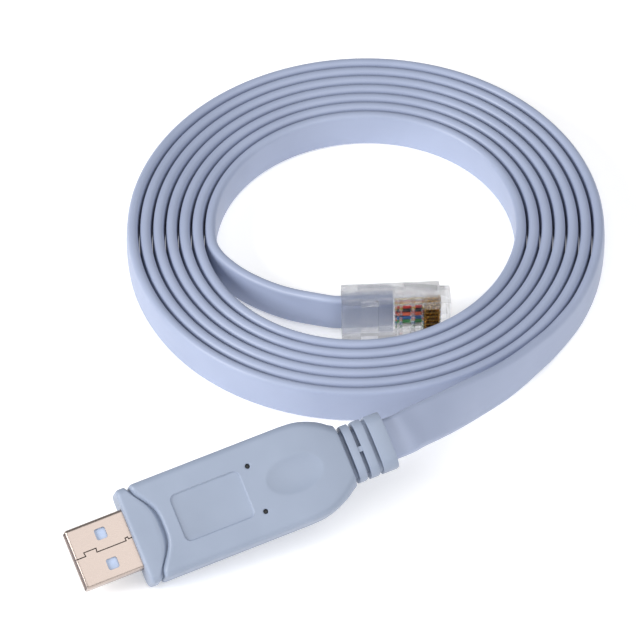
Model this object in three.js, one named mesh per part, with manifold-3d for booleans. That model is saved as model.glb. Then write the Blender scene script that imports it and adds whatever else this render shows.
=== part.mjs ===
// Console cable: USB-A plug, flat eight-core cable coiled on edge, clear RJ45 plug.
// Millimetres, +Z up. The origin is on the floor, under the middle of the two plugs.
import * as THREE from 'three';
import { mergeVertices } from 'three/addons/utils/BufferGeometryUtils.js';
import Module from 'manifold-3d';

// ---------------------------------------------------------------- driving dimensions
const ORIGIN = [-20.706, -56.692];   // origin seen from the coil's centre

// flat cable
const CABLE_W = 8.2;                 // jacket width
const CABLE_T = 2.45;                // jacket thickness
const FACE_GAP = 0.3;                // clearance where the cable's solids face other pieces

// coil
const COIL_R = 46.5;                 // centreline radius of the outermost turn
const PITCH = 2.6;                   // from turn to turn
const TURNS = 7;                     // turns at the back
const JOG_FROM = 215, JOG_TO = 345;  // degrees: where each turn steps in by one pitch
const SWAY = [0.29, -0.06, -0.58, -0.20, 0.19];  // how the turns leave the true circle
const LEAVE_OUT = 331;               // degrees: where the outermost turn leaves the coil
const LEAVE_IN = 188;                // degrees: where the innermost turn leaves the coil
const GROOVE = 0.75;                 // depth of the groove between turns
const COIL_STEP = 6;                 // degrees per facet

// USB-A plug
const SHELL_W = 12, SHELL_H = 4.5, SHELL_WALL = 0.3, SHELL_R = 0.7;
const SHELL_OUT = 11.6;              // shell in front of the housing
const SHELL_IN = 2.6;                // shell inside the housing
const WINDOW = 2.2, WINDOW_X = 6.3, WINDOW_Y = 3.05;
const TONGUE_SIDE = 0.4, TONGUE_GAP = 0.1;          // insulator to the shell's side walls and face
const TONGUE_W = SHELL_W - 2 * (SHELL_WALL + TONGUE_SIDE), TONGUE_T = 1.7, TONGUE_BACK = 0.7;
const CONTACT_W = 1.0, CONTACT_T = 0.25, CONTACT_Y = [-3.5, -1, 1, 3.5], CONTACT_L = [7.4, 6.4, 6.4, 7.4];

// housing
const HOUSING_W = 19.2;
const BODY_H = 8.8, COLLAR_H = 7.6;
const BODY_END = 55.6;               // from the shell's mouth
const LABEL_FROM = 20.6, LABEL_TO = 34.9, LABEL_W = 9.6, LABEL_DEPTH = 0.25, LABEL_R = 1.3;
const HOLE_X = 36.9, HOLE_Y = 4.65, HOLE_D = 0.9, HOLE_DEPTH = 0.8;
const DIMPLE_X = 44.8, DIMPLE_L = 11.6, DIMPLE_W = 7.2, DIMPLE_DEPTH = 0.7;
const RELIEF_W = 11.4, RELIEF_H = 7.0;
const CORE_W = 9.6, CORE_H = 4.6;
const RIBS = [[56.5, 58.1], [58.9, 60.7], [61.5, 64.6]];   // strain relief ribs
const BRIDGE_W = 1.1;                // bridges between the ribs

// pose of the USB plug as it lies: centre of the shell's mouth, yaw, rise and roll in degrees
const USB_AT = [-55.63, -90.28, 6.955], USB_YAW = 22.6, USB_RISE = 6.5, USB_ROLL = 34;

// RJ45 plug
const RJ_L = 21.6, RJ_MAIN = RJ_L - 2.1, RJ_W = 11.68, RJ_T = 6.0;
const NOSE_W = 9.1;
const RJ_AT = [-5.0, -24.4], RJ_YAW = 3.4;
const CABLE_OFF = -1.1;              // cable centre towards the latch side
const MOUTH_DEPTH = 10.6, MOUTH_CLEAR = 0.3;
const CORE_PITCH = 1.02, CORES = 8, WIRE_D = 0.84;
const WIRE_FROM = 10.5, WIRE_TO = RJ_L - 2.4, WIRE_Z = -0.4;
const BLADE = [RJ_L - 5.4, RJ_L - 2.3], BLADE_T = 0.36, BLADE_Z = [0.5, 2.75], BLADE_CLEAR = 0.1;
const LATCH_W = 6.2, LATCH_T = 1.1;

// ---------------------------------------------------------------- small tools
const wasm = await Module();
wasm.setup();
const rad = THREE.MathUtils.degToRad;

function solid(geometry) {
  const g = geometry.clone();
  g.deleteAttribute('normal');
  g.deleteAttribute('uv');
  const m = mergeVertices(g, 1e-5);
  return new wasm.Manifold(new wasm.Mesh({
    numProp: 3,
    vertProperties: new Float32Array(m.attributes.position.array),
    triVerts: new Uint32Array(m.index.array),
  }));
}

function geometryOf(man) {
  const mesh = man.getMesh();
  const g = new THREE.BufferGeometry();
  const n = mesh.numProp, count = mesh.vertProperties.length / n;
  const p = new Float32Array(count * 3);
  for (let i = 0; i < count; i++) for (let k = 0; k < 3; k++) p[3 * i + k] = mesh.vertProperties[n * i + k];
  g.setAttribute('position', new THREE.BufferAttribute(p, 3));
  g.setIndex(new THREE.BufferAttribute(new Uint32Array(mesh.triVerts), 1));
  return g;
}

function box(x0, x1, y0, y1, z0, z1) {
  const g = new THREE.BoxGeometry(x1 - x0, y1 - y0, z1 - z0);
  g.translate((x0 + x1) / 2, (y0 + y1) / 2, (z0 + z1) / 2);
  return g;
}

// rounded rectangle outline in the plane
function roundedRect(w, h, r, cx = 0, cy = 0) {
  const s = new THREE.Shape();
  const x0 = cx - w / 2, x1 = cx + w / 2, y0 = cy - h / 2, y1 = cy + h / 2;
  s.moveTo(x0 + r, y0);
  s.lineTo(x1 - r, y0); s.absarc(x1 - r, y0 + r, r, -Math.PI / 2, 0, false);
  s.lineTo(x1, y1 - r); s.absarc(x1 - r, y1 - r, r, 0, Math.PI / 2, false);
  s.lineTo(x0 + r, y1); s.absarc(x0 + r, y1 - r, r, Math.PI / 2, Math.PI, false);
  s.lineTo(x0, y0 + r); s.absarc(x0 + r, y0 + r, r, Math.PI, 1.5 * Math.PI, false);
  return s;
}

// a section drawn in (y, z) and pushed from x0 to x1
function alongX(shape, x0, x1, curveSegments = 3) {
  const g = new THREE.ExtrudeGeometry(shape, { depth: x1 - x0, bevelEnabled: false, curveSegments });
  g.applyMatrix4(new THREE.Matrix4().set(0, 0, 1, x0, 1, 0, 0, 0, 0, 1, 0, 0, 0, 0, 0, 1));
  return g;
}

// an outline drawn in (x, y), its height h centred on z = 0, with rounded rims
function slab(shape, h, rim, curveSegments = 3) {
  const g = new THREE.ExtrudeGeometry(shape, {
    depth: h - 2 * rim, bevelEnabled: true, bevelThickness: rim, bevelSize: rim * 0.8, bevelOffset: -rim * 0.8,
    bevelSegments: 3, curveSegments,
  });
  g.translate(0, 0, -h / 2 + rim);
  return g;
}

function mesh(name, geometry, color, roughness = 0.5, metalness = 0, opacity = 1) {
  const g = geometry.index ? geometry : mergeVertices(geometry);
  g.computeVertexNormals();
  const m = new THREE.Mesh(g, new THREE.MeshStandardMaterial({
    color, roughness, metalness, opacity, transparent: opacity < 1,
  }));
  m.name = name;
  return m;
}

const JACKET = 0xb3bccf, HOUSING = 0xa9b7cc, METAL = 0xe0cfc6, TONGUE = 0xd5deea, GOLD = 0xc89a4a, CLEAR = 0xe4e8ee;

// ---------------------------------------------------------------- coil
const smooth = (t) => { const u = Math.min(1, Math.max(0, t)); return u * u * (3 - 2 * u); };

// centreline radius of turn k at angle deg (0 to 360): each turn steps in by one pitch at the front
function turnRadius(k, deg) {
  const a = rad(deg);
  const sway = SWAY[0] + SWAY[1] * Math.cos(a) + SWAY[2] * Math.sin(a) + SWAY[3] * Math.cos(2 * a) + SWAY[4] * Math.sin(2 * a);
  return COIL_R + sway - PITCH * (k + smooth((deg - JOG_FROM) / (JOG_TO - JOG_FROM)));
}

// closed solid swept from deg0 to deg1 through turns first..last
function coilSector(first, last, deg0, deg1) {
  const steps = Math.max(1, Math.round((deg1 - deg0) / COIL_STEP));
  const pos = [], idx = [];
  const profile = (deg) => {
    const wrap = Math.floor(deg / 360), d = deg - 360 * wrap;
    const pts = [], half = CABLE_T / 2, top = CABLE_W, flat = half * 0.45;
    const radii = [];
    for (let k = first; k <= last; k++) radii.push(turnRadius(k + wrap, d));
    // underside from the outside in, then the top from the inside out
    pts.push([radii[0] + half, GROOVE]);
    radii.forEach((r, i) => {
      pts.push([r + flat, 0], [r - flat, 0]);
      pts.push([i < radii.length - 1 ? (r + radii[i + 1]) / 2 : r - half, GROOVE]);
    });
    [...radii].reverse().forEach((r, j) => {
      const i = radii.length - 1 - j;
      if (i === radii.length - 1) pts.push([r - half, top - GROOVE]);
      pts.push([r - flat, top], [r + flat, top]);
      pts.push([i > 0 ? (r + radii[i - 1]) / 2 : r + half, top - GROOVE]);
    });
    return pts;
  };
  let n = 0;
  for (let s = 0; s <= steps; s++) {
    const deg = deg0 + (deg1 - deg0) * s / steps, a = rad(deg);
    const pts = profile(deg);
    n = pts.length;
    for (const [r, z] of pts) pos.push(r * Math.cos(a), r * Math.sin(a), z);
  }
  for (let s = 0; s < steps; s++) {
    for (let i = 0; i < n; i++) {
      const j = (i + 1) % n, a = s * n + i, b = s * n + j, c = a + n, d = b + n;
      idx.push(a, b, c, b, d, c);
    }
  }
  const contour = profile(deg0).map(([r, z]) => new THREE.Vector2(r, z));
  const turning = Math.sign(THREE.ShapeUtils.area(contour));
  for (const [a, b, c] of THREE.ShapeUtils.triangulateShape(contour, [])) {
    const same = Math.sign(THREE.ShapeUtils.area([contour[a], contour[b], contour[c]])) === turning;
    const [p, q] = same ? [b, c] : [c, b];
    idx.push(a, q, p);
    idx.push(steps * n + a, steps * n + p, steps * n + q);
  }
  const g = new THREE.BufferGeometry();
  g.setAttribute('position', new THREE.BufferAttribute(new Float32Array(pos), 3));
  g.setIndex(idx);
  const out = solid(g);
  return out.volume() > 0 ? out : solid(flipped(g));
}

function flipped(g) {
  const f = g.clone(), a = f.index.array;
  for (let i = 0; i < a.length; i += 3) { const t = a[i]; a[i] = a[i + 1]; a[i + 1] = t; }
  return f;
}

// turns 0..last all round the back; turn 0's next lap is turn 1's first, so the front holds one fewer
const backTurns = coilSector(0, TURNS - 1, LEAVE_OUT - 360, LEAVE_IN);
const frontTurns = coilSector(0, TURNS - 2, LEAVE_IN - 0.5, LEAVE_OUT + 0.5);
const coil = backTurns.add(frontTurns);

// ---------------------------------------------------------------- flat cable leads
// A curve through the route points whose section turns with the cable: each point carries how far
// the near edge drops (0 = flat, 90 = on edge).
class FlatRoute extends THREE.CatmullRomCurve3 {
  constructor(points, drops) {
    super(points.map((p) => new THREE.Vector3(...p)), false, 'centripetal');
    this.drops = drops;
  }
  computeFrenetFrames(segments) {
    const tangents = [], normals = [], binormals = [];
    for (let i = 0; i <= segments; i++) {
      const u = i / segments;
      const t = this.getTangentAt(u).normalize();
      const at = this.getUtoTmapping(u, 0) * (this.drops.length - 1);
      const k = Math.min(this.drops.length - 2, Math.floor(at));
      const drop = rad(this.drops[k] + (this.drops[k + 1] - this.drops[k]) * (at - k));
      const side = new THREE.Vector3(t.y, -t.x, 0).normalize();
      const up = new THREE.Vector3().crossVectors(side, t).normalize();
      const wide = side.clone().multiplyScalar(Math.cos(drop)).addScaledVector(up, -Math.sin(drop));
      tangents.push(t);
      normals.push(wide);
      binormals.push(new THREE.Vector3().crossVectors(t, wide).normalize());
    }
    return { tangents, normals, binormals };
  }
}

// ten-sided flat section with round edges, width along x
function cableSection() {
  const w = CABLE_W / 2, t = CABLE_T / 2, r = t;
  const s = new THREE.Shape();
  s.moveTo(-(w - r), -t);
  s.lineTo(w - r, -t);
  s.lineTo(w - r * 0.25, -t * 0.6); s.lineTo(w, 0); s.lineTo(w - r * 0.25, t * 0.6);
  s.lineTo(w - r, t);
  s.lineTo(-(w - r), t);
  s.lineTo(-(w - r * 0.25), t * 0.6); s.lineTo(-w, 0); s.lineTo(-(w - r * 0.25), -t * 0.6);
  s.closePath();
  return s;
}

function lead(points, drops, steps) {
  const g = new THREE.ExtrudeGeometry(cableSection(), {
    steps, bevelEnabled: false, extrudePath: new FlatRoute(points, drops), curveSegments: 1,
  });
  const man = solid(g);
  return geometryOf(man.volume() > 0 ? man : solid(flipped(mergeVertices(bare(g)))));
}

function bare(g) {
  const b = g.clone();
  b.deleteAttribute('normal');
  b.deleteAttribute('uv');
  return b;
}

// ---------------------------------------------------------------- USB plug, in its own frame
// x from the shell's mouth back along the plug, y across, z up through the plug
const usbSolids = {};
{
  const w = SHELL_W, h = SHELL_H, c = SHELL_WALL;
  let shell = solid(alongX(roundedRect(w, h, SHELL_R), 0, SHELL_OUT + SHELL_IN));
  shell = shell.subtract(solid(alongX(roundedRect(w - 2 * c, h - 2 * c, SHELL_R - c), -1, SHELL_OUT + SHELL_IN + 1)));
  for (const y of [-WINDOW_Y, WINDOW_Y]) {
    shell = shell.subtract(solid(box(WINDOW_X - WINDOW / 2, WINDOW_X + WINDOW / 2, y - WINDOW / 2, y + WINDOW / 2, -h, h)));
  }
  usbSolids.usb_shell = shell;

  const top = h / 2 - c - TONGUE_GAP, end = SHELL_OUT + SHELL_IN;
  usbSolids.usb_tongue = solid(box(TONGUE_BACK, end, -TONGUE_W / 2, TONGUE_W / 2, top - TONGUE_T, top));
  CONTACT_Y.forEach((y, i) => {
    const z = top - TONGUE_T - TONGUE_GAP;
    usbSolids[`usb_contact_${i + 1}`] = solid(box(end - CONTACT_L[i] - 2.5, end, y - CONTACT_W / 2, y + CONTACT_W / 2, z - CONTACT_T, z));
  });

  // body outline: curved front step, straight flanks, shoulders into the strain relief
  const half = HOUSING_W / 2;
  const front = [[17.8, 0], [17.5, 0.31], [16.7, 0.55], [15.3, 0.76]];
  const shoulder = [[45.5, 1], [48, 0.985], [50, 0.94], [52, 0.855], [53.5, 0.76], [54.6, 0.66], [BODY_END, 0.6]];
  const outline = new THREE.Shape();
  outline.moveTo(front[0][0], 0);
  for (const [x, f] of front.slice(1)) outline.lineTo(x, f * half);
  outline.lineTo(14.4, half);
  for (const [x, f] of shoulder) outline.lineTo(x, f * half);
  for (const [x, f] of [...shoulder].reverse()) outline.lineTo(x, -f * half);
  outline.lineTo(14.4, -half);
  for (const [x, f] of [...front.slice(1)].reverse()) outline.lineTo(x, -f * half);
  outline.closePath();
  let housing = solid(slab(outline, BODY_H, 1.1));

  const collar = new THREE.Shape();
  const ch = half - 0.1;
  collar.moveTo(SHELL_OUT, -ch + 0.8);
  collar.lineTo(SHELL_OUT, ch - 0.8); collar.lineTo(SHELL_OUT + 0.8, ch);
  collar.lineTo(22, ch); collar.lineTo(22, -ch); collar.lineTo(SHELL_OUT + 0.8, -ch);
  collar.closePath();
  housing = housing.add(solid(slab(collar, COLLAR_H, 1.4)));

  // strain relief: core, ribs and the bridges between them
  housing = housing.add(solid(alongX(roundedRect(CORE_W, CORE_H, 1.6), BODY_END - 2, RIBS[2][1] - 0.4)));
  for (const [x0, x1] of RIBS) housing = housing.add(solid(alongX(roundedRect(RELIEF_W, RELIEF_H, 2.4), x0, x1, 4)));
  housing = housing.add(solid(box(RIBS[0][0] + 0.2, RIBS[1][1] - 0.2, -BRIDGE_W / 2, BRIDGE_W / 2, -RELIEF_H / 2 + 0.25, RELIEF_H / 2 - 0.25)));

  // pocket for the shell
  const pw = SHELL_W + 2 * FACE_GAP, ph = SHELL_H + 2 * FACE_GAP;
  housing = housing.subtract(solid(alongX(roundedRect(pw, ph, SHELL_R + FACE_GAP), SHELL_OUT - 1, SHELL_OUT + SHELL_IN + FACE_GAP)));

  // label recess, indicator holes and thumb dimple on the upper face
  const lx = (LABEL_FROM + LABEL_TO) / 2;
  const label = new THREE.ExtrudeGeometry(roundedRect(LABEL_TO - LABEL_FROM, LABEL_W, LABEL_R, lx, 0), { depth: 2, bevelEnabled: false, curveSegments: 3 });
  label.translate(0, 0, BODY_H / 2 - LABEL_DEPTH);
  housing = housing.subtract(solid(label));
  for (const y of [-HOLE_Y, HOLE_Y]) {
    const hole = new THREE.CylinderGeometry(HOLE_D / 2, HOLE_D / 2, HOLE_DEPTH * 2, 12);
    hole.rotateX(Math.PI / 2);
    hole.translate(HOLE_X, y, BODY_H / 2);
    housing = housing.subtract(solid(hole));
  }
  const dimple = new THREE.SphereGeometry(1, 24, 16);
  const bulge = 3;                                        // depth of the ellipsoid that scoops the dimple
  const reach = Math.sqrt(1 - (1 - DIMPLE_DEPTH / bulge) ** 2);
  dimple.scale(DIMPLE_L / 2 / reach, DIMPLE_W / 2 / reach, bulge);
  dimple.translate(DIMPLE_X, 0, BODY_H / 2 + bulge - DIMPLE_DEPTH);
  housing = housing.subtract(solid(dimple));
  usbSolids.usb_housing = housing;
}

// ---------------------------------------------------------------- RJ45 plug, in its own frame
// x from the cable end to the nose, y across the eight positions, z towards the contact face
const rjSolids = {};
{
  const w = RJ_W / 2, t = RJ_T / 2;
  let body = solid(box(0, RJ_MAIN, -w, w, -t, t));
  body = body.add(solid(box(RJ_MAIN - 1, RJ_L, -NOSE_W / 2, NOSE_W / 2, -t, t - 0.8)));
  // latch tab, rooted at the nose and springing away from the body
  const tab = new THREE.Shape();
  tab.moveTo(RJ_L - 2.4, -t + 0.3);
  tab.lineTo(RJ_L - 0.4, -t + 0.3);
  tab.lineTo(RJ_L - 1.0, -t - LATCH_T);
  tab.lineTo(9.0, -t - 3.2);
  tab.lineTo(3.6, -t - 3.5);
  tab.lineTo(3.6, -t - 3.5 + LATCH_T);
  tab.lineTo(9.2, -t - 3.2 + LATCH_T);
  tab.lineTo(RJ_L - 3.4, -t - 0.5);
  tab.closePath();
  const latch = new THREE.ExtrudeGeometry(tab, { depth: LATCH_W, bevelEnabled: false });
  latch.applyMatrix4(new THREE.Matrix4().set(1, 0, 0, 0, 0, 0, -1, LATCH_W / 2, 0, 1, 0, 0, 0, 0, 0, 1));
  body = body.add(solid(latch));

  // cable mouth, wire channel, blade slots, strain relief window
  const mw = CABLE_W + 2 * MOUTH_CLEAR, mh = CABLE_T + 2 * MOUTH_CLEAR;
  body = body.subtract(solid(box(-1, MOUTH_DEPTH, -mw / 2, mw / 2, CABLE_OFF - mh / 2, CABLE_OFF + mh / 2)));
  const cw = (CORES - 1) * CORE_PITCH + WIRE_D + 0.4;
  body = body.subtract(solid(box(MOUTH_DEPTH - 0.5, WIRE_TO + 0.4, -cw / 2, cw / 2, WIRE_Z - WIRE_D / 2 - 0.15, WIRE_Z + WIRE_D / 2 + 0.15)));
  body = body.subtract(solid(box(3.6, 7.2, -mw / 2, mw / 2, t - 1.2, t + 1)));
  for (let i = 0; i < CORES; i++) {
    const y = (i - (CORES - 1) / 2) * CORE_PITCH;
    const sw = BLADE_T / 2 + BLADE_CLEAR;
    body = body.subtract(solid(box(BLADE[0] - BLADE_CLEAR, BLADE[1] + BLADE_CLEAR, y - sw, y + sw, WIRE_Z, t + 1)));
    rjSolids[`rj45_contact_${i + 1}`] = solid(box(BLADE[0], BLADE[1], y - BLADE_T / 2, y + BLADE_T / 2, BLADE_Z[0], BLADE_Z[1]));
    const wire = new THREE.CylinderGeometry(WIRE_D / 2, WIRE_D / 2, WIRE_TO - WIRE_FROM, 8);
    wire.rotateZ(Math.PI / 2);
    wire.translate((WIRE_FROM + WIRE_TO) / 2, y, WIRE_Z);
    rjSolids[`rj45_wire_${i + 1}`] = solid(wire);
  }
  rjSolids.rj45_body = body;
}

// ---------------------------------------------------------------- assembly
const part = new THREE.Group();
const lying = new THREE.Group();                 // everything, measured from the coil's centre
lying.position.set(-ORIGIN[0], -ORIGIN[1], 0);
part.add(lying);

lying.add(mesh('cable_coil', geometryOf(coil), JACKET));

const usb = new THREE.Group();
usb.position.set(...USB_AT);
usb.rotation.set(rad(USB_ROLL), rad(-USB_RISE), rad(USB_YAW), 'ZYX');
lying.add(usb);
const usbLook = { usb_shell: [METAL, 0.3, 1], usb_tongue: [TONGUE, 0.5, 0], usb_housing: [HOUSING, 0.5, 0] };
for (const [name, man] of Object.entries(usbSolids)) {
  const [color, rough, metal] = usbLook[name] ?? [GOLD, 0.3, 1];
  const m = mesh(name, geometryOf(man), color, rough, metal);
  usb.add(m);
}
usb.updateMatrixWorld(true);

const rj = new THREE.Group();
const yaw = rad(RJ_YAW);
rj.matrixAutoUpdate = false;
rj.matrix.set(
  Math.cos(yaw), 0, Math.sin(yaw), RJ_AT[0],
  Math.sin(yaw), 0, -Math.cos(yaw), RJ_AT[1],
  0, 1, 0, RJ_W / 2,
  0, 0, 0, 1,
);
lying.add(rj);
const wireColors = [0xd8d4d0, 0xd8b83c, 0xc0302a, 0x16141a, 0xd4583c, 0x2f62a0, 0x3c8a4c, 0xc9c6c4];
for (const [name, man] of Object.entries(rjSolids)) {
  const number = Number(name.split('_').pop());
  if (name === 'rj45_body') rj.add(mesh(name, geometryOf(man), CLEAR, 0.1, 0, 0.4));
  else if (name.startsWith('rj45_wire')) rj.add(mesh(name, geometryOf(man), wireColors[CORES - number], 0.4));
  else rj.add(mesh(name, geometryOf(man), GOLD, 0.3, 1));
}

// leads: route points seen from the coil's centre, with the drop of the near edge in degrees
const out = (x, y = 0, z = 0) => new THREE.Vector3(x, y, z).applyMatrix4(usb.matrix).toArray();
const rjPoint = (x) => new THREE.Vector3(x, 0, CABLE_OFF).applyMatrix4(rj.matrix).toArray();
usb.updateMatrix();
const half = CABLE_W / 2 + 0.02;
const leaveDeg = LEAVE_OUT - FACE_GAP / COIL_R * 180 / Math.PI;
const ringPoint = (k, deg) => {
  const d = ((deg % 360) + 360) % 360, lap = Math.floor(deg / 360);
  const r = turnRadius(k + lap, d), a = rad(deg);
  return [r * Math.cos(a), r * Math.sin(a), half];
};
const endOut = RIBS[RIBS.length - 1][1] + FACE_GAP;
const usbRoute = [
  [...out(endOut), 34], [...out(endOut + 3), 34],
  [9.2, -61.7, 13.8, 38], [12.2, -58.9, 12.8, 44], [15.2, -55.8, 11.6, 51], [18.2, -52.5, 10.3, 58],
  [21.1, -49.1, 8.9, 65], [24.1, -45.7, 7.6, 71], [27.1, -42.3, 6.6, 76], [30.1, -38.6, 5.8, 81],
  [33.1, -34.6, 5.1, 85], [36.2, -30.4, 4.5, 88],
  [...ringPoint(0, leaveDeg - 360), 90],
];
lying.add(mesh('cable_lead_usb', lead(usbRoute.map((p) => p.slice(0, 3)), usbRoute.map((p) => p[3]), 20), JACKET));

const enterDeg = LEAVE_IN + FACE_GAP / 31 * 180 / Math.PI;
const rjRoute = [
  ringPoint(TURNS - 1, enterDeg),
  [-30.5, -6.4, half], [-29.1, -9.2, half], [-26.9, -11.9, half], [-24.3, -14.3, half], [-21.3, -16.4, half],
  [-18.2, -18.2, 4.2], [-15.1, -19.8, 4.5], [-12.0, -21.2, 5.0], [-9.0, -22.4, 5.5], [-6.6, -23.2, 5.78],
  rjPoint(0), rjPoint(5), rjPoint(WIRE_FROM - FACE_GAP),
];
lying.add(mesh('cable_lead_rj45', lead(rjRoute, rjRoute.map(() => 90), 16), JACKET));

export default part;
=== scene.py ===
"""Console cable: moulded USB-A plug, flat eight-core cable coiled on edge, clear RJ45 plug.

Each plug is built in millimetres in its own frame, then laid in its place and turned to metres.
"""
import math

import bmesh
import bpy
from mathutils import Matrix, Vector


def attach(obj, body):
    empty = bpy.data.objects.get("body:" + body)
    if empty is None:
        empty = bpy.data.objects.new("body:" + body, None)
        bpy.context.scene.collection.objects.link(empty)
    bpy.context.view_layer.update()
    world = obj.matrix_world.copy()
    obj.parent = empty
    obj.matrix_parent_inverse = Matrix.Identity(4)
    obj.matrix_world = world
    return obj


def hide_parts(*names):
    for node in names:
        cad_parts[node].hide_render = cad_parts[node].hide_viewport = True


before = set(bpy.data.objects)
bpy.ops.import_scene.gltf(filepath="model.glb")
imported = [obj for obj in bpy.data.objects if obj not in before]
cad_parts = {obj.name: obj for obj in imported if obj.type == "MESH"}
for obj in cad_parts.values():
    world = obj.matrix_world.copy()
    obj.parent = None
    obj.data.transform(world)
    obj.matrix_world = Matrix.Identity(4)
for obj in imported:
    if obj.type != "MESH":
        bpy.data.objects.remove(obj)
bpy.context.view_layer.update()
bpy.ops.object.select_all(action="DESELECT")

# Sizes in millimetres, as in the CAD
ORIGIN = (-20.706, -56.692)          # origin seen from the coil's centre
CABLE_W, CABLE_T = 8.2, 2.45
JACKET_T = 2.1                       # thickness near its edges, where the turns show dark gaps
JACKET_R = 0.98
CABLE_LIFT = 0.02                    # the coil's clearance over the floor
COIL_R, PITCH, TURNS = 46.5, 2.6, 7
JOG_FROM, JOG_TO = 215, 345          # degrees between which a turn steps in to the next
# how far all turns sway out: evenly, then by the cosine and sine of the angle and of twice the angle
SWAY = (0.29, -0.06, -0.58, -0.20, 0.19)
LEAVE_OUT, LEAVE_IN = 331, 188       # degrees where the outer and inner leads leave the turns
FACE_GAP = 0.3                       # from the jacket's end to where the cores start

SHELL_W, SHELL_H, SHELL_WALL, SHELL_R = 12, 4.5, 0.3, 0.7
SHELL_OUT, SHELL_IN = 11.6, 2.6
WINDOW, WINDOW_X, WINDOW_Y, WINDOW_R = 2.2, 6.3, 3.05, 0.42
JOINT_W, JOINT_DEPTH = 0.2, 0.27     # the groove where the folded sheet's edges meet
TONGUE_W, TONGUE_T, TONGUE_BACK, TONGUE_GAP = 10.6, 1.7, 0.7, 0.1
CONTACT_Y = (-3.5, -1, 1, 3.5)
CONTACT_L = (7.4, 6.4, 6.4, 7.4)
HOUSING_W, BODY_H, COLLAR_H, BODY_END = 19.2, 8.8, 7.6, 55.6
RIM_X, RIM_IN = 0.85, 0.75           # rounding of the collar's front rim, along x and inwards
SEAM_X, SEAM_BOW = 17.8, 3.4         # seam of collar and body: its middle, and how far its ends run ahead
LABEL_FROM, LABEL_TO, LABEL_W, LABEL_DEPTH, LABEL_R = 20.6, 34.9, 9.6, 0.25, 1.3
HOLE_X, HOLE_Y = 36.9, 4.65
DIMPLE_X, DIMPLE_L, DIMPLE_W, DIMPLE_DEPTH = 44.8, 11.6, 7.2, 0.7
RELIEF_W, RELIEF_H, CORE_W, CORE_H = 11.4, 7.0, 9.6, 4.6
RIBS = ((56.5, 58.1), (58.9, 60.7), (61.5, 64.6))
BRIDGE_W = 1.1
USB_AT, USB_YAW, USB_RISE, USB_ROLL = (-55.63, -90.28, 6.955), 22.6, 6.5, 34

RJ_L, RJ_MAIN, RJ_W, RJ_T, NOSE_W = 21.6, 19.5, 11.68, 6.0, 9.1
RJ_AT, RJ_YAW = (-5.0, -24.4), 3.4
CABLE_OFF = -1.1
MOUTH_DEPTH, MOUTH_CLEAR = 10.6, 0.3
CORE_PITCH, CORES, WIRE_D = 1.02, 8, 0.84
WIRE_FROM, WIRE_TO, WIRE_Z = 10.5, 19.2, -0.4
BLADE, BLADE_T, BLADE_Z, BLADE_CLEAR = (16.2, 19.3), 0.36, (0.5, 2.75), 0.1
BLADE_R, BLADE_BITE = 0.6, 0.45
LATCH_W, LATCH_T, TAB_W = 6.2, 1.1, 3.9

MM = 0.001
COIL_FRAME = Matrix.Translation((-ORIGIN[0] * MM, -ORIGIN[1] * MM, 0)) @ Matrix.Scale(MM, 4)
USB_FRAME = (COIL_FRAME @ Matrix.Translation(USB_AT)
             @ Matrix.Rotation(math.radians(USB_YAW), 4, "Z")
             @ Matrix.Rotation(math.radians(-USB_RISE), 4, "Y")
             @ Matrix.Rotation(math.radians(USB_ROLL), 4, "X"))
yaw = math.radians(RJ_YAW)
RJ_FRAME = COIL_FRAME @ Matrix((
    (math.cos(yaw), 0, math.sin(yaw), RJ_AT[0]),
    (math.sin(yaw), 0, -math.cos(yaw), RJ_AT[1]),
    (0, 1, 0, RJ_W / 2),
    (0, 0, 0, 1)))


def smooth(t):
    """Eases from 0 to 1."""
    u = min(1, max(0, t))
    return u * u * (3 - 2 * u)


# Camera: well above the floor, far away and with a long lens, as the photograph's near-parallel edges ask
CAMERA_RISE, CAMERA_AWAY = math.radians(46), 1.1905
aim = Vector((0.0115, 0.03684, 0))
back = Vector((0, -math.cos(CAMERA_RISE), math.sin(CAMERA_RISE)))
lens = bpy.data.cameras.new("camera")
lens.lens, lens.sensor_width = 337.5, 36
lens.clip_start, lens.clip_end = 0.05, 20
camera = bpy.data.objects.new("camera", lens)
bpy.context.scene.collection.objects.link(camera)
camera.location = aim + back * CAMERA_AWAY
camera.rotation_mode = "QUATERNION"
camera.rotation_quaternion = (-back).to_track_quat("-Z", "Y")
bpy.context.scene.camera = camera
bpy.context.scene.view_settings.view_transform = "Standard"      # keeps the white paper white


# Cable


def turn_radius(k, deg):
    """Radius of turn k at that angle: it sways a little, and steps in to the next turn late in each lap."""
    a = math.radians(deg)
    sway = (SWAY[0] + SWAY[1] * math.cos(a) + SWAY[2] * math.sin(a)
            + SWAY[3] * math.cos(2 * a) + SWAY[4] * math.sin(2 * a))
    return COIL_R + sway - PITCH * (k + smooth((deg - JOG_FROM) / (JOG_TO - JOG_FROM)))


def on_coil(deg):
    """A point of the wound cable's centreline, deg counted from the first turn on."""
    lap, d = divmod(deg, 360)
    r, a = turn_radius(lap, d), math.radians(deg)
    return (r * math.cos(a), r * math.sin(a), CABLE_W / 2 + CABLE_LIFT)


def seen_from_coil(plug_frame, x, y=0, z=0):
    """A point of a plug, in millimetres from the coil's centre."""
    return tuple(COIL_FRAME.inverted() @ plug_frame @ Vector((x, y, z)))


# the route: x, y and z seen from the coil's centre, and how many degrees the cable has turned on edge
half = CABLE_W / 2 + CABLE_LIFT
route = [(*seen_from_coil(USB_FRAME, x), USB_ROLL) for x in (63.2, 64.9, 67.9)]
route += [
    (9.2, -61.7, 13.8, 38), (12.2, -58.9, 12.8, 44), (15.2, -55.8, 11.6, 51), (18.2, -52.5, 10.3, 58),
    (21.1, -49.1, 8.9, 65), (24.1, -45.7, 7.6, 71), (27.1, -42.3, 6.6, 76), (30.1, -38.6, 5.8, 81),
    (33.1, -34.6, 5.1, 85), (36.2, -30.4, 4.5, 88),
]
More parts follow.
